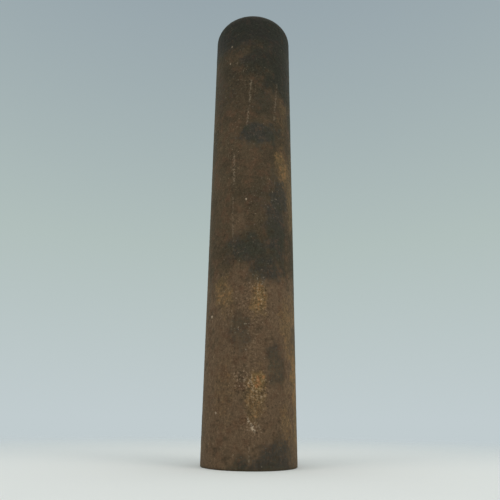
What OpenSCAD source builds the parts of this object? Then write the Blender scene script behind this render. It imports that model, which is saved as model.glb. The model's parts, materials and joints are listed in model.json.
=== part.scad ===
// Pipe bollard, ready to be set in the ground: a length of steel pipe with a square-cut
// lower end, closed at the top by a pressed dished cap that is butt-welded on and ground
// down. The pipe, the cap and the ring of weld metal between them are three solids.
// Millimetres, +Z up along the pipe, origin at the centre of the square-cut end.

/* [Overall] */
// Height from the square-cut end to the crown of the cap
overall_height = 950; // [600:1:1500]
// Outside diameter of the pipe, and of the cap that matches it
pipe_od = 168.3; // [140:0.1:220]
// Wall thickness of the pipe, and of the cap that matches it
wall = 7.11; // [4.5:0.01:11]
// Width of the filed edge round both rims of the square-cut end
deburr = 0.8; // [0.2:0.1:2]

/* [Dished cap] */
// Length of the cap along the pipe, with its straight skirt
cap_length = 89; // [75:1:130]
// Outside radius of the large sphere that makes the crown
crown_radius = 156.4; // [125:0.1:200]
// Outside radius of the knuckle that turns the crown into the skirt
knuckle_radius = 29.15; // [20:0.05:45]

/* [Cap weld] */
// Angle that the edges of the pipe and the cap are bevelled to, from square
bevel_angle = 37.5; // [25:0.5:45]
// Height of the square edge left at the foot of each bevel
root_face = 1.6; // [0.5:0.1:3]
// Gap between the two square edges, which the first run of weld fills
root_gap = 2.4; // [1:0.1:4]
// Width of the first run where it shows inside the pipe
root_bead_width = 6; // [5:0.1:9]
// How far the first run stands into the bore
root_bead_height = 0.3; // [0.1:0.1:2.5]
// How far the ground outside of the weld stands above the pipe
face_bead_height = 0.4; // [0.1:0.1:1.5]

/* [Hidden] */
lap = 1;
$fn = 180;

outer_radius = pipe_od / 2;
bore_radius = outer_radius - wall;

// The knuckle's centre lies knuckle_x from the axis, at the top of the straight skirt, and
// the crown sphere's centre lies on the axis, sphere_drop below it.
knuckle_x = outer_radius - knuckle_radius;
sphere_drop = sqrt((crown_radius - knuckle_radius) ^ 2 - knuckle_x ^ 2);
skirt_top = overall_height - (crown_radius - sphere_drop);

cap_edge = overall_height - cap_length;
pipe_edge = cap_edge - root_gap;
bevel_foot = bore_radius + root_face;
groove_low = pipe_edge - (wall - root_face) * tan(bevel_angle);
groove_high = cap_edge + (wall - root_face) * tan(bevel_angle);
weld_middle = (pipe_edge + cap_edge) / 2;

rust_brown = [0.36, 0.27, 0.19];
rust_dark = [0.25, 0.22, 0.19];
rust_bright = [0.45, 0.31, 0.19];

// Radius of the arc that stands height above a chord of the given width.
function arc_radius(width, height) = (width ^ 2 / 4 + height ^ 2) / (2 * height);

// Half outline of a solid dished end, set in by inset from the outside of the cap. It
// starts at z = base, and its two arcs meet on the line through their centres. Both arcs
// also run lap below their start, inside the skirt, so that the outline is one piece.
module dish_outline(inset, base) {
    crown = crown_radius - inset;
    knuckle = knuckle_radius - inset;
    meet_x = knuckle_x * crown / (crown - knuckle);
    translate([0, base])
        square([outer_radius - inset, skirt_top - base]);
    translate([0, skirt_top]) {
        intersection() {
            translate([0, -sphere_drop]) circle(r = crown);
            translate([0, -lap]) square([meet_x, crown]);
        }
        intersection() {
            translate([knuckle_x, 0]) circle(r = knuckle);
            translate([knuckle_x, -lap]) square(knuckle + lap);
        }
    }
}

// Half outline of the groove between the two bevels, from its foot to well clear of the
// pipe.
module groove_outline() {
    reach = 2 * wall;
    run = reach * tan(bevel_angle);
    polygon([
        [bevel_foot, pipe_edge],
        [bevel_foot + reach, pipe_edge - run],
        [bevel_foot + reach, cap_edge + run],
        [bevel_foot, cap_edge]
    ]);
}

// Plain pipe, square and filed at the bottom, bevelled for welding at the top.
module pipe() {
    color(rust_brown)
        rotate_extrude()
            polygon([
                [bore_radius + deburr, 0],
                [outer_radius - deburr, 0],
                [outer_radius, deburr],
                [outer_radius, groove_low],
                [bevel_foot, pipe_edge],
                [bore_radius, pipe_edge],
                [bore_radius, deburr]
            ]);
}

// Pressed cap of even wall: the inside arcs share the centres of the outside ones.
module dome_cap() {
    color(rust_dark)
        rotate_extrude()
            difference() {
                dish_outline(0, cap_edge);
                dish_outline(wall, cap_edge - wall);
                groove_outline();
            }
}

// Ring of weld metal: it fills the groove, and shows as a low ground band outside and as
// a narrow bead in the bore.
module cap_weld() {
    face_arc = arc_radius(groove_high - groove_low, face_bead_height);
    root_arc = arc_radius(root_bead_width, root_bead_height);
    color(rust_bright)
        rotate_extrude() {
            intersection() {
                groove_outline();
                translate([outer_radius + face_bead_height - face_arc, weld_middle])
                    circle(r = face_arc);
            }
            translate([bore_radius, pipe_edge]) square([root_face, root_gap]);
            intersection() {
                translate([bore_radius - root_bead_height + root_arc, weld_middle])
                    circle(r = root_arc);
                translate([bore_radius - wall, weld_middle - root_bead_width])
                    square([wall, 2 * root_bead_width]);
            }
        }
}

pipe();
dome_cap();
cap_weld();
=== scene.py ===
import json

import bpy
import numpy as np
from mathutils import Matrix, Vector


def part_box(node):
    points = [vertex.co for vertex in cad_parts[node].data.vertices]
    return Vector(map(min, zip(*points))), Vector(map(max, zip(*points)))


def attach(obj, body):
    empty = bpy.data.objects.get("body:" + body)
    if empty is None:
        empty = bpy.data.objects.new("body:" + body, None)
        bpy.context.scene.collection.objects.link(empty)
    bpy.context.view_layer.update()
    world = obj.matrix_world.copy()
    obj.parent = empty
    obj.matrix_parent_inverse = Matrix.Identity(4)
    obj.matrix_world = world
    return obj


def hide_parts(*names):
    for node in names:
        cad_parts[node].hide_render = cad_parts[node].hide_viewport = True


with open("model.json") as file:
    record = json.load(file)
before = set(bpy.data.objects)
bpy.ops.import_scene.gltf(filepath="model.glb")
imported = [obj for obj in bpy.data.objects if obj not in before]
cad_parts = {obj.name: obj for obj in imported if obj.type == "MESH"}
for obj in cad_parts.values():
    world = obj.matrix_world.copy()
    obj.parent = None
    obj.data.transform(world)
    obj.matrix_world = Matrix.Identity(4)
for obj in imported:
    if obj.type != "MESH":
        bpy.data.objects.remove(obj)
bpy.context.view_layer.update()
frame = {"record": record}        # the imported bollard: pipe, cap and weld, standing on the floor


# ---------------------------------------------------------------------------- the pipe
# The post is a length of hot-finished mild steel pipe, sawn square at the foot, filed
# round both rims and bevelled at the top for the weld. It was never painted, so it is
# brown rust all over, with grey islands of mill scale and ochre blooms where water ran.

# Sizes are in millimetres, which mm turns to metres. A bevel leaves the root face square at
# its foot, and the filed edge is how far the rims of the sawn end are cut back.
mm = 0.001
mate = {mount["name"]: mount["dims"] for mount in frame["record"]["mounts"]}
outer_radius = mate["pipe_outside"]["r_mm"]
bore_radius = mate["pipe_bore"]["r_mm"]
pipe_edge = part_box("pipe")[1].z / mm
groove_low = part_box("cap_weld")[0].z / mm
groove_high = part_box("cap_weld")[1].z / mm
root_face = 1.6
filed_edge = 0.8

# Every ring has this many points. Angle 0 faces -Y and grows towards +X.
around = 256
angle = np.linspace(0, 2 * np.pi, around, endpoint=False)

# Edges that turn more sharply than this stay crisp, as the filed rims do.
crisp_edge = np.radians(38)


def stretch(start, end, step):
    """Points (radius, height) on the straight line from start to end, evenly spaced and no
    more than step apart. The end itself is left to the next stretch."""
    start, end = np.array(start, float), np.array(end, float)
    count = int(np.ceil(np.linalg.norm(end - start) / step))
    along = np.arange(count)[:, None] / count
    return start * (1 - along) + end * along


def ring_points(radius, height):
    """Points of the rings: (r sin a, -r cos a, h) at each angle a, as [ring, point, xyz]."""
    height = np.broadcast_to(height, radius.shape)
    return np.stack([radius * np.sin(angle), -radius * np.cos(angle), height], axis=-1)


def lathe(name, radius, height, marks):
    """A closed skin of rings about the axis, in millimetres. The rings run up the outside, in
    over the top and down the inside, and the last joins the first. If the first and last
    shrink to points on the axis, they are two poles instead, and the rings run down the
    inside from one and up the outside to the other. Four neighbours on two rings make a
    face, or three at a pole. marks holds values for each named attribute of the points."""
    rings = len(radius)
    points = ring_points(radius, height).reshape(-1, 3) * mm
    has_poles = np.isclose(radius[0, 0], 0)
    corner = np.arange(rings * around).reshape(rings, around)
    kept = slice(None)
    if has_poles:
        kept = np.r_[0, around:(rings - 1) * around + 1]
        corner = np.clip(corner - around + 1, 0, len(kept) - 1)
        corner[0] = 0
    beside = np.roll(corner, -1, axis=1)
    faces = np.stack([corner, beside, np.roll(beside, -1, axis=0), np.roll(corner, -1, axis=0)],
                     axis=-1)
    if has_poles:
        faces = [*faces[0][:, [0, 2, 3]].tolist(), *faces[1:-2].reshape(-1, 4).tolist(),
                 *faces[-2][:, [0, 1, 2]].tolist()]
    else:
        faces = faces.reshape(-1, 4).tolist()
    mesh = bpy.data.meshes.new(name)
    mesh.from_pydata(points[kept], [], faces)
    mesh.shade_smooth()
    mesh.set_sharp_from_angle(angle=crisp_edge)
    for mark, values in marks.items():
        values = np.broadcast_to(values, radius.shape).ravel()[kept]
        layer = mesh.attributes.new(mark, "FLOAT", "POINT")
        layer.data.foreach_set("value", values.astype(np.float32))
    piece = bpy.data.objects.new(name, mesh)
    bpy.context.scene.collection.objects.link(piece)
    return piece


def waves(points, length, seed):
    """A smooth random field on the points: the sum of 48 cosine waves, with directions and
    phases at random and lengths of 0.6 to 1.7 times the one given, over the square root of
    half their number, which gives it a spread of 1."""
    count = 48
    draw = np.random.default_rng(seed)
    heading = draw.normal(size=(count, 3))
    heading /= np.linalg.norm(heading, axis=1, keepdims=True)
    heading /= length * draw.uniform(0.6, 1.7, (count, 1))
    phase = draw.uniform(0, 2 * np.pi, count)
    field = sum(np.cos(2 * np.pi * points @ way + shift) for way, shift in zip(heading, phase))
    return field / np.sqrt(count / 2)


def smooth(value, low, high):
    """0 below low, 1 above high, and the curve 3t^2 - 2t^3 between them."""
    t = np.clip((value - low) / (high - low), 0, 1)
    return t * t * (3 - 2 * t)


def unrolled(points, height, degrees):
    """How far the points lie round and up from a place on the pipe, with its skin unrolled:
    the angle between them, at most half a turn, times the outer radius; and the rise."""
    turn = np.degrees(np.arctan2(points[..., 0], -points[..., 1]))
    across = np.radians((turn - degrees + 180) % 360 - 180) * outer_radius
    return across, points[..., 2] - height


def cover(points, patches, fray):
    """How strongly oval patches cover each point: the largest of strength times a smooth
    step of depth, which is 1 at a patch's middle, 0 on its rim and less outside. fray is
    added to the depth. A patch is (height, degrees, half height, half width, strength)."""
    outermost, innermost = -0.55, 0.65
    most = np.zeros(points.shape[:-1])
    for height, degrees, tall, wide, strength in patches:
        across, up = unrolled(points, height, degrees)
        depth = 1 - np.hypot(up / tall, across / wide) + fray
        most = np.maximum(most, strength * smooth(depth, outermost, innermost))
    return most


def strewn(count, seed, tall, wide):
    """Patches strewn at random over the back and the sides, from 80 to 280 degrees round,
    with their half heights between the two of tall, and their half widths of wide."""
    draw = np.random.default_rng(seed)
    spans = [(20, 840), (80, 280), tall, wide, (0.35, 0.9)]
    return list(zip(*(draw.uniform(*span, count) for span in spans)))


# Where mill scale is left, where ochre rust has bloomed, where pale grit lies, where the
# rust is fresh, and where the skin near the top is darker, partly with painted shade.
scale_patches = [
    (617, 14, 30, 36, 1.2), (374, 6, 38, 54, 0.9), (430, 38, 96, 28, 0.8), (335, 20, 32, 46, 0.7),
    (217, -12, 30, 24, 0.5), (172, 32, 42, 19, 0.55), (12, 32, 40, 62, 0.8), (695, 18, 46, 24, 0.5),
    (800, 26, 50, 62, 0.85), (815, 58, 84, 50, 0.95), (480, 12, 42, 28, 0.35), (790, -2, 44, 36, 0.5),
    (300, -66, 50, 14, 0.4), (600, -68, 70, 12, 0.35),
] + strewn(18, 5, (24, 75), (18, 46))
ochre_patches = [
    (557, 49, 54, 22, 0.72), (705, 50, 66, 22, 0.42), (277, 10, 36, 17, 0.8), (285, -36, 38, 24, 0.6),
    (112, 6, 52, 20, 0.62), (140, 10, 15, 11, 1.6), (140, 70, 140, 18, 0.95), (120, -32, 64, 26, 0.35),
    (720, -30, 66, 26, 0.3), (230, 52, 54, 22, 0.55), (640, -50, 80, 18, 0.2), (60, 54, 66, 26, 0.5),
    (500, 68, 120, 20, 0.5),
] + strewn(24, 6, (25, 110), (8, 22))
grit_patches = [
    (250, -2, 70, 38, 0.6), (140, -8, 22, 16, 1.2), (126, 7, 34, 19, 1.2), (76, 4, 34, 22, 0.6),
    (289, 9, 26, 16, 1.1), (750, -14, 90, 28, 0.4), (470, 12, 54, 32, 0.35), (540, -24, 50, 14, 0.4),
] + strewn(14, 7, (20, 60), (14, 34))
fresh_patches = [
    (427, -17, 30, 20, 0.8), (690, -24, 70, 26, 0.15), (560, 0, 50, 30, 0.2),
] + strewn(12, 8, (30, 80), (12, 30))
# In these patches the darkening near the top reaches further down, most on the right flank: partly
# scale, partly painted shade.
top_scale_and_shade_patches = [(810, 58, 92, 68, 1.0), (802, 12, 46, 60, 0.75), (745, -50, 80, 72, 0.4)]

# Pale chips and scrapes where something hard has knocked or rubbed the rust. A chip is a
# patch, and a scrape is (strength, half width) and its corners as (height, degrees).
chips = [
    (471, -7, 2.6, 2.4, 1.0), (251, -56, 3.4, 3.6, 1.0), (86, -42, 2.8, 2.6, 0.8),
    (801, -35, 3.0, 2.6, 0.7), (846, -33, 3.0, 2.6, 0.7), (333, 140, 3.4, 2.6, 1.0),
    (602, 214, 3.0, 3.2, 0.9),
]
scrapes = [
    (0.29, 3.0, [(747, -2), (690, -4), (636, -7)]), (0.22, 3.2, [(749, 38), (700, 35), (657, 32)]),
    (0.32, 2.8, [(571, -25), (505, -24)]), (0.2, 2.4, [(478, -25), (420, -24), (370, -23)]),
    (2.2, 2.0, [(78, -2), (72, 0), (67, 4)]), (1.4, 2.4, [(63, 3), (59, 6)]),
    (0.3, 3.0, [(70, 10), (62, 12)]), (0.3, 1.8, [(34, 0), (14, 0)]),
    (0.5, 1.6, [(512, 163), (488, 158), (437, 160)]), (0.35, 2.6, [(288, 236), (160, 233)]),
]


def scraped(points):
    """For the nearest scrape: how many half widths off its line each point lies, up to 4 and
    with a sign for the side, and how strong the scrape is there. Along the line and across
    it come from the products of the point's place with the line's direction."""
    run_out = 3
    nearest = np.full(points.shape[:-1], np.inf)
    offset, strength = np.zeros_like(nearest), np.zeros_like(nearest)
    for force, half_width, corners in scrapes:
        for start, end in zip(corners, corners[1:]):
            across, up = unrolled(points, *start)
            reach = np.array([np.radians(end[1] - start[1]) * outer_radius, end[0] - start[0]])
            length = np.hypot(*reach)
            along = (across * reach[0] + up * reach[1]) / length
            side = (across * reach[1] - up * reach[0]) / length
            overrun = np.maximum(np.maximum(-along, along - length), 0)
            away = np.hypot(side, overrun)
            closer = away < nearest
            nearest = np.where(closer, away, nearest)
            offset = np.where(closer, side / half_width, offset)
            fade = 1 - smooth(overrun, 0, run_out)
            fade *= 1 - smooth(away, 3 * half_width, 4 * half_width)
            strength = np.where(closer, force * fade, strength)
    return np.clip(offset, -4, 4), strength


def pits(points):
    """How deep the rust has pitted the skin, from two fields of waves, 13 and 60 mm long: 1 in
    the middle of a pit, and 0 on most of it."""
    return smooth(waves(points, 13, 31) + 0.5 * waves(points, 60, 32), 1.1, 2.2)


def weathering(points):
    """The marks of making and weather, one value per point: how much mill scale is left, how
    far the skin darkens towards the top, partly its scale and partly painted shade, how much
    ochre rust has bloomed, where rust is fresh, as on the splashed foot, how thick the pale
    grit lies, where chips and scrapes are, and where the rust is dark: in its pits, and as
    painted shade along the lowest 5 mm of the foot. Waves of 52, 21 and 9 mm fray every edge."""
    top_dark_starts, top_dark_full, top_dark_fray = 798, 870, 30
    splash_ends, splash_full, splash_fray = 342, 296, 55
    foot_shade_ends, foot_shade_full = 5, 1
    height = points[..., 2]
    fray = 0.16 * waves(points, 52, 11) + 0.11 * waves(points, 21, 12) + 0.07 * waves(points, 9, 13)
    # The skin darkens towards the top: partly its scale, partly painted shade where the light falls off.
    heated = smooth(height + top_dark_fray * fray, top_dark_starts, top_dark_full)
    heated = np.maximum(heated, cover(points, top_scale_and_shade_patches, fray))
    splash = smooth(height + splash_fray * fray, splash_ends, splash_full)
    # Pits stay dark, and the lowest 5 mm of the foot is painted with shade.
    damp = np.maximum(0.6 * pits(points), smooth(height, foot_shade_ends, foot_shade_full))
    offset, strength = scraped(points)
    return {
        "scale": np.maximum(cover(points, scale_patches, fray), heated), "heated": heated,
        "bloom": cover(points, ochre_patches, fray) * (1 - 0.8 * heated),
        "fresh": np.maximum(splash, cover(points, fresh_patches, fray)),
        "grit": cover(points, grit_patches, fray), "chip": cover(points, chips, 0 * fray),
        "scrape_offset": offset, "scrape": strength, "damp": damp,
    }


def rise(marks, points):
    """Height of the weathered skin above the true surface: the thickness of scale where it is
    left, less the depth of pits, plus the rust's own roughness of about a tenth."""
    scale_thickness, pit_depth, most = 0.1, 0.45, 0.3
    rough = 0.05 * waves(points, 7, 41) + 0.06 * waves(points, 120, 42)
    scale_left = smooth(marks["scale"], 0.4, 0.6)
    return np.minimum(scale_thickness * scale_left - pit_depth * pits(points) + rough, most)


# The outside has rings close enough to carry the pits, and the plain bore has few.
fine_step, sawn_step, plain_step, skin_step, bore_step = 0.6, 1.4, 2, 2.62, 28
bevel_foot = bore_radius + root_face
profile = np.concatenate([
    stretch((outer_radius - filed_edge, 0), (outer_radius, filed_edge), fine_step),
    stretch((outer_radius, filed_edge), (outer_radius, groove_low), skin_step),
    stretch((outer_radius, groove_low), (bevel_foot, pipe_edge), 2 * plain_step),
    stretch((bevel_foot, pipe_edge), (bore_radius, pipe_edge), plain_step),
    stretch((bore_radius, pipe_edge), (bore_radius, filed_edge), bore_step),
    stretch((bore_radius, filed_edge), (bore_radius + filed_edge, 0), fine_step),
    stretch((bore_radius + filed_edge, 0), (outer_radius - filed_edge, 0), sawn_step),
])
radius = np.repeat(profile[:, :1], around, axis=1)
height = profile[:, 1:]
points = ring_points(radius, height)
marks = weathering(points)
marks["sawn"] = np.isclose(height, 0)
outside = np.isclose(profile[:, :1], outer_radius)
clear_of_ends = smooth(height, 0, 6) * smooth(groove_low - height, 0, 4)
radius = radius + outside * clear_of_ends * rise(marks, points)
pipe = lathe("rusted_pipe", radius, height, marks)


def linear(colour):
    """An sRGB hex colour, such as "#5A4632", as linear red, green, blue and alpha. A level c
    from 0 to 1 becomes c / 12.92, or ((c + 0.055) / 1.055)^2.4 above 0.04045."""
    level = np.array([int(colour[i:i + 2], 16) for i in (1, 3, 5)]) / 255
    curve = np.where(level > 0.04045, ((level + 0.055) / 1.055) ** 2.4, level / 12.92)
    return (*curve, 1.0)


def add(tree, kind, inputs=(), output=0, **settings):
    """Adds a node to the tree and gives one of its outputs, by name or number. settings are
    the node's own properties. inputs gives, for its sockets by name or number, a value or
    another node's output to link."""
    made = tree.nodes.new(kind)
    for name, value in settings.items():
        setattr(made, name, value)
    for name, value in dict(inputs).items():
        if isinstance(value, bpy.types.NodeSocket):
            tree.links.new(value, made.inputs[name])
        else:
            made.inputs[name].default_value = value
    return made.outputs[output] if made.outputs else None


def rusted_steel(name, drawn_out, dust_film, **hues):
    """Unpainted mild steel after some years outdoors. Rust is a matt, powdery crust with next
    to no gloss; mill scale is a harder, tighter grey oxide, a little less matt, and it frays
    at its edges; fresh rust blooms ochre and orange, and pale grains stand out of it.
    drawn_out is how many times longer its fine strokes are along the axis than round it.
    dust_film is the weight of the pale sheen that fine dust gives the skin seen edge on.
    hues are its colours in sRGB hex, one for each kind of rust, scale and dust."""
    hue = {part: linear(colour) for part, colour in hues.items()}
    material = bpy.data.materials.new(name)
    material.use_nodes = True
    tree = material.node_tree
    tree.nodes.clear()
    place = add(tree, "ShaderNodeTexCoord", output="Object")

    # The skin's fields: noises, by the width of their coarsest lumps in millimetres, and the
    # marks that the mesh carries. Real rust has grains of a few tenths of a millimetre, and
    # these are drawn as coarse as they need to be to show.
    field = {}
    for lumps, width, detail, rough, tall in [
        ("cloud", 90, 3, 0.6, 1), ("mottle", 20, 5, 0.62, 1), ("crumb", 6, 4, 0.6, 1),
        ("kernel", 3.6, 2, 0.5, 1), ("grain", 1.8, 3, 0.6, 1), ("stroke", 2.4, 3, 0.6, drawn_out),
    ]:
        drawn = add(tree, "ShaderNodeMapping", {"Vector": place, "Scale": (1, 1, 1 / tall)})
        field[lumps] = add(tree, "ShaderNodeTexNoise", {"Vector": drawn, "Scale": 1 / (width * mm),
                                                        "Detail": detail, "Roughness": rough}, "Fac")
    for mark in ("scale", "heated", "bloom", "fresh", "grit", "chip", "scrape_offset", "scrape",
                 "damp", "sawn"):
        field[mark] = add(tree, "ShaderNodeAttribute", output="Fac", attribute_name=mark)

    def total(weights, start=0.0):
        """start plus the sum of the named fields, each times its weight."""
        for term, weight in weights.items():
            start = add(tree, "ShaderNodeMath", {0: field[term], 1: weight, 2: start},
                        operation="MULTIPLY_ADD")
        return start

    def share(weights, low, high, least=0.0, most=1.0):
        """How much of the skin a growth covers: the total of its weighted fields, taken from
        low..high to least..most with soft ends."""
        return add(tree, "ShaderNodeMapRange",
                   {"Value": total(weights), "From Min": low, "From Max": high,
                    "To Min": least, "To Max": most}, interpolation_type="SMOOTHSTEP")

    # Ochre rust blooms in patches, and it turns orange where a bloom is thick.
    bloomed = share({"bloom": 1, "crumb": 0.6}, 0.4, 1.4)
    ripe = share({"crumb": 1, "bloom": 0.13}, 0.59, 0.82)
    ripened = add(tree, "ShaderNodeMath", {0: bloomed, 1: ripe}, operation="MULTIPLY")

    # Mill scale breaks off in flakes, and rust comes through what is left.
    flakes = share({"scale": 1, "kernel": 0.9, "grain": 0.9, "mottle": 0.7}, 1.4, 2.15)
    unbroken = share({"mottle": 1, "crumb": 0.5}, 0.78, 0.98, 1.0, 0.5)
    field["scaled"] = add(tree, "ShaderNodeMath", {0: flakes, 1: unbroken}, operation="MULTIPLY")
    greyed = share({"cloud": 1, "mottle": 0.6}, 0.7, 0.9)
    scale_skin = add(tree, "ShaderNodeMix", {0: greyed, 6: hue["scale"], 7: hue["scale_grey"]}, 2,
                     data_type="RGBA")

    # Pale grains, chips, and scrapes that rub only the higher kernels, are the dusty spots.
    field["grains"] = share({"kernel": 1, "grit": 0.1}, 0.66, 0.84, 0.0, 0.42)
    field["off_line"] = add(tree, "ShaderNodeMath", {0: field["scrape_offset"]}, operation="ABSOLUTE")
    on_line = share({"off_line": 1, "crumb": 1.2}, 1.9, 0.6)
    caught = add(tree, "ShaderNodeMath", {0: share({"kernel": 1}, 0.36, 0.64), 1: field["scrape"]},
                 operation="MULTIPLY")
    rubbed = add(tree, "ShaderNodeMath", {0: on_line, 1: caught}, operation="MULTIPLY")
    chipped = share({"chip": 1, "crumb": 1}, 0.9, 1.2)
    pale = add(tree, "ShaderNodeMath", {0: rubbed, 1: chipped}, operation="MAXIMUM")
    pale = add(tree, "ShaderNodeMath", {0: pale, 1: field["grains"]}, operation="MAXIMUM")

    # Pocks 2 to 3 mm across sit in some of the 8 mm cells, and stay dark, as the pits do.
    cells = add(tree, "ShaderNodeTexVoronoi", {"Vector": place, "Scale": 1 / (8 * mm)}).node
    field["from_middle"] = cells.outputs["Distance"]
    some = add(tree, "ShaderNodeMath", {0: 0.42, 1: cells.outputs["Color"]}, operation="GREATER_THAN")
    field["pock"] = add(tree, "ShaderNodeMath", {0: share({"from_middle": 1}, 0.2, 0.1), 1: some},
                        operation="MULTIPLY")
    dark = add(tree, "ShaderNodeMath", {0: field["damp"], 1: field["pock"]}, operation="MAXIMUM")

    # The layers, from the rust at the bottom up: where each lies, how well it hides what is
    # under it, and its colour. The last darkens the pits and paints shade along the foot.
    colour = hue["rust_dark"]
    for where, hides, layer in [
        (share({"cloud": 1}, 0.35, 0.65), 1.0, hue["rust"]), (field["fresh"], 0.75, hue["fresh"]),
        (share({"mottle": 1}, 0.46, 0.68), 0.8, hue["rust_red"]),
        (share({"grain": 1}, 0.5, 0.7), 0.4, hue["rust_red"]),
        (bloomed, 0.9, hue["ochre"]), (ripened, 1.0, hue["orange"]),
        (field["scaled"], 0.95, scale_skin), (pale, 1.0, hue["dust"]), (dark, 0.75, hue["rust_dark"]),
    ]:
        covers = add(tree, "ShaderNodeMath", {0: where, 1: hides}, operation="MULTIPLY")
        colour = add(tree, "ShaderNodeMix", {0: covers, 6: colour, 7: layer}, 2, data_type="RGBA")

    # Painted shade darkens the hollows between grains and painted light their tops, most in grit,
    # over the rust's own uneven tone; the skin is darker towards the top, partly painted shade.
    gritty = total({"grit": 1.3}, 0.7)
    field["crust"] = add(tree, "ShaderNodeMath", {0: total({"kernel": 1}, -0.5), 1: gritty},
                         operation="MULTIPLY")
    tone = total({"grain": 1.1, "stroke": 0.35, "crumb": 0.9, "crust": 1}, -0.175)
    tone = add(tree, "ShaderNodeMath", {0: tone, 1: total({"heated": -0.38}, 1.0)}, operation="MULTIPLY")
    colour = add(tree, "ShaderNodeVectorMath", {0: colour, 3: tone}, operation="SCALE")

    # The relief of the rust, or saw marks where the end was cut: a band of the wave pattern
    # is 0.314 over its scale wide.
    saw_pitch = 1.3 * mm
    rusty = total({"crumb": 0.6, "grain": 0.4, "grains": 0.36, "pock": -0.4, "scaled": 0.12})
    saw_marks = add(tree, "ShaderNodeTexWave", {"Vector": place, "Scale": 0.314 / saw_pitch,
                                                "Distortion": 0.6}, "Fac")
    relief = add(tree, "ShaderNodeMix", {0: field["sawn"], 2: rusty, 3: saw_marks})
    bump = add(tree, "ShaderNodeBump", {"Height": relief, "Distance": 1.5 * mm, "Strength": 0.85})

    # Oxide is porous, so it is rough and hardly shines, scale a little less rough. No bare
    # metal shows.
    roughness = add(tree, "ShaderNodeMapRange",
                    {"Value": field["scaled"], "To Min": 0.92, "To Max": 0.78})
    skin = add(tree, "ShaderNodeBsdfPrincipled",
               {"Base Color": colour, "Roughness": roughness, "Specular IOR Level": 0.12,
                "Normal": bump, "Sheen Weight": dust_film, "Sheen Roughness": 0.35,
                "Sheen Tint": linear("#E6F0D6")})
    add(tree, "ShaderNodeOutputMaterial", {"Surface": skin})
    return material


# The pipe was drawn out lengthwise as it was rolled, so its fine strokes run up and down.
pipe.data.materials.append(rusted_steel(
    "rusted_pipe_steel", drawn_out=14, dust_film=0.08, rust="#4E4232", rust_dark="#3F3629",
    rust_red="#5A4433", fresh="#685441", ochre="#745E3E", orange="#865F3E", scale="#36352B",
    scale_grey="#38352F", dust="#9A8873"))
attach(pipe, "root")
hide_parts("pipe")


# ---------------------------------------------------------------------------- the cap
# The top is a pressed and dished cap of the same steel, with a straight skirt that butts
# against the pipe. Hot pressing left it a thick, dark scale, which has hardly rusted yet.

# The dish is part of a large sphere, and the knuckle is the tighter curve that turns its edge
# down into the skirt.
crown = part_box("dome_cap")[1].z / mm
cap_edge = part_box("dome_cap")[0].z / mm
crown_radius = 156.4
knuckle_radius = 29.15
wall = outer_radius - bore_radius
knuckle_centre = outer_radius - knuckle_radius
sphere_drop = np.sqrt((crown_radius - knuckle_radius) ** 2 - knuckle_centre ** 2)
skirt_top = crown - crown_radius + sphere_drop
turnover = np.arctan2(sphere_drop, knuckle_centre)


def dish(inset, steps):
    """The dished outline from the top of the skirt to the pole, set in by inset: an arc of the
    knuckle round its centre up to the turnover angle, then an arc of the crown sphere."""
    turn = np.linspace(0, turnover, steps, endpoint=False)
    knuckle = np.stack([knuckle_centre + (knuckle_radius - inset) * np.cos(turn),
                        skirt_top + (knuckle_radius - inset) * np.sin(turn)], axis=1)
    turn = np.linspace(turnover, np.pi / 2, 2 * steps + 1)
    sphere = np.stack([(crown_radius - inset) * np.cos(turn),
                       skirt_top - sphere_drop + (crown_radius - inset) * np.sin(turn)], axis=1)
    sphere[-1, 0] = 0
    return np.concatenate([knuckle, sphere])


# The skirt's inside starts a ring gap below the arcs, which already have the ring at its top.
ring_gap, skirt_step, inside_steps, outside_steps = 0.5, 12, 12, 22
inside = np.concatenate([
    dish(wall, inside_steps)[::-1],
    stretch((bore_radius, skirt_top - ring_gap), (bore_radius, cap_edge), skirt_step),
    stretch((bore_radius, cap_edge), (bevel_foot, cap_edge), plain_step),
    stretch((bevel_foot, cap_edge), (outer_radius, groove_high), 2 * plain_step),
])
skin = np.concatenate([
    stretch((outer_radius, groove_high), (outer_radius, skirt_top), plain_step),
    dish(0, outside_steps),
])
profile = np.concatenate([inside, skin])
outward = np.gradient(profile, axis=0) @ np.array([[0, -1], [1, 0]])
outward /= np.linalg.norm(outward, axis=1, keepdims=True)
outward[-1] = 0, 1
radius = np.repeat(profile[:, :1], around, axis=1)
height = np.repeat(profile[:, 1:], around, axis=1)
points = ring_points(radius, height)
marks = weathering(points)
marks["sawn"] = 0.0

# The outer skin alone is rough. Its relief fades out towards the weld and the pole.
free = smooth(height - groove_high, 0, 4) * smooth(crown - height, 0, 0.5)
outer_skin = np.arange(len(profile))[:, None] >= len(inside)
lift = np.where(outer_skin, free * rise(marks, points), 0)
cap = lathe("domed_cap", radius + lift * outward[:, :1], height + lift * outward[:, 1:], marks)

# Pressing gave its scale no grain, so its strokes are as long as they are wide.
cap.data.materials.append(rusted_steel(
    "scaled_cap_steel", drawn_out=1, dust_film=0.03, rust="#4A4032", rust_dark="#3D362B",
    rust_red="#534132", fresh="#655340", ochre="#6A573D", orange="#7C593D", scale="#34352D",
    scale_grey="#383530", dust="#8C7D6A"))
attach(cap, "root")
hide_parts("dome_cap")


# ---------------------------------------------------------------------------- the weld
# A ring of weld metal fills the groove between the two bevels. A grinder took its outside
# down to a low band, and its first run shows inside the bore as a thin bead.

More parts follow.
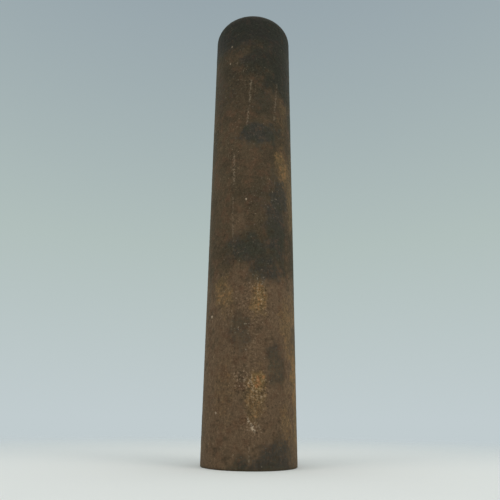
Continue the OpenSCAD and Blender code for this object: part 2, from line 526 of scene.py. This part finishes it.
# The band and the bead both bulge as a parabola does: 1 at the middle and 0 at the edges.
face_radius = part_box("cap_weld")[1].x / mm
bead_height, bead_half_width = 0.3, 3
middle = (groove_low + groove_high) / 2
across = np.linspace(-1, 1, 17)[:, None]
bulge = 1 - across ** 2
face = np.concatenate([outer_radius + (face_radius - outer_radius) * bulge,
                       middle + (groove_high - groove_low) / 2 * across], axis=1)
bead = np.concatenate([bore_radius - bead_height * bulge, middle - bead_half_width * across],
                      axis=1)
profile = np.concatenate([
    face,
    stretch((outer_radius, groove_high), (bevel_foot, cap_edge), plain_step)[1:],
    stretch((bevel_foot, cap_edge), (bore_radius, cap_edge), plain_step / 2),
    bead,
    stretch((bore_radius, pipe_edge), (bevel_foot, pipe_edge), plain_step / 2),
    stretch((bevel_foot, pipe_edge), (outer_radius, groove_low), plain_step),
])
radius = np.repeat(profile[:, :1], around, axis=1)
height = profile[:, 1:]
points = ring_points(radius, height)
marks = weathering(points)
marks["sawn"] = 0.0

# The grinder left the band in flats a few centimetres long, which take off up to 0.6 of how
# far it stands proud.
proud = np.maximum(radius - outer_radius, 0)
radius = radius - proud * smooth(waves(points, 55, 51), -1.5, 1.5) * 0.6
weld = lathe("ground_cap_weld", radius, height, marks)

# Its fine strokes run round the pipe, as the grinder did.
weld.data.materials.append(rusted_steel(
    "ground_weld_metal", drawn_out=0.12, dust_film=0.05, rust="#4C4132", rust_dark="#3E362A",
    rust_red="#564232", fresh="#665441", ochre="#6F5A3E", orange="#825C3D", scale="#36352D",
    scale_grey="#393630", dust="#92826E"))
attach(weld, "root")
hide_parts("cap_weld")


# ---------------------------------------------------------------------------- the studio
# A pale floor that fades into a pale, even surround, so that no edge of it shows, with a
# large soft lamp on each side and one overhead.

# In metres: the floor turns from solid to clear between two distances from its middle.
fade_start, fade_end, floor_radius = 0.2, 1.6, 1.8
floor_mesh = bpy.data.meshes.new("floor")
rim = np.stack([np.cos(angle), np.sin(angle), 0 * angle], axis=1) * floor_radius
floor_mesh.from_pydata(rim, [], [list(range(around))])
floor = bpy.data.objects.new("floor", floor_mesh)
bpy.context.scene.collection.objects.link(floor)

# Matt paint, which takes soft shadows and shines nowhere.
floor_paint = bpy.data.materials.new("pale_matt_floor")
floor_paint.use_nodes = True
tree = floor_paint.node_tree
tree.nodes.clear()
place = add(tree, "ShaderNodeTexCoord", output="Object")
distance = add(tree, "ShaderNodeVectorMath", {0: place}, "Value", operation="LENGTH")
fading = add(tree, "ShaderNodeMapRange",
             {"Value": distance, "From Min": fade_start, "From Max": fade_end},
             interpolation_type="SMOOTHSTEP")
paint = add(tree, "ShaderNodeBsdfDiffuse", {"Color": linear("#ECEEEE")})
clear = add(tree, "ShaderNodeBsdfTransparent")
both = add(tree, "ShaderNodeMixShader", {0: fading, 1: paint, 2: clear})
add(tree, "ShaderNodeOutputMaterial", {"Surface": both})
floor_mesh.materials.append(floor_paint)

# The surround is palest low down and turns to a darker blue grey higher up.
surround = bpy.data.worlds.new("pale_surround")
surround.use_nodes = True
tree = surround.node_tree
tree.nodes.clear()
heading = add(tree, "ShaderNodeTexCoord", output="Generated")
upward = add(tree, "ShaderNodeSeparateXYZ", {"Vector": heading}, "Z")
shades = add(tree, "ShaderNodeValToRGB", {"Fac": upward}).node
shades.color_ramp.elements[0].color = linear("#C1CCCF")
shades.color_ramp.elements[1].position = 0.75
shades.color_ramp.elements[1].color = linear("#97A5AC")
shades.color_ramp.elements.new(0.34).color = linear("#B1BFBC")
sky = add(tree, "ShaderNodeBackground", {"Color": shades.outputs["Color"], "Strength": 1.0})
add(tree, "ShaderNodeOutputWorld", {"Surface": sky})
bpy.context.scene.world = surround


def lamp(name, place, target, size, power):
    """A square soft lamp at place that faces target, both in metres. It is slightly warm. Its
    tilt is the angle between straight down and the way it faces, and its turn about the
    upright is that way's heading from Y."""
    light = bpy.data.lights.new(name, "AREA")
    light.size = size
    light.energy = power
    light.color = linear("#FFF6EA")[:3]
    holder = bpy.data.objects.new(name, light)
    holder.location = place
    aim = np.subtract(target, place)
    tilt = np.arccos(-aim[2] / np.linalg.norm(aim))
    holder.rotation_euler = (tilt, 0, np.arctan2(-aim[0], aim[1]))
    holder.visible_camera = False
    bpy.context.scene.collection.objects.link(holder)


lamp("right_lamp", (1.5, -1.0, 0.7), (0, 0, 0.25), 1.0, 11)
lamp("left_lamp", (-1.5, -1.0, 0.7), (0, 0, 0.25), 1.0, 9)
lamp("top_lamp", (0, 0, 2.8), (0, 0, 0), 3.0, 32)

# The camera stands 0.89 m in front of the bollard's axis, a hand's width above the floor, and
# looks up along the bollard by about 20 degrees.
lens = bpy.data.cameras.new("camera")
lens.sensor_width = 36
lens.lens = 33.8
camera = bpy.data.objects.new("camera", lens)
camera.location = (0.0013, -0.8913, 0.0785)
camera.rotation_euler = np.radians((90 + 19.72, -0.59, 0))
bpy.context.scene.collection.objects.link(camera)
bpy.context.scene.camera = camera
bpy.context.scene.view_settings.view_transform = "Standard"
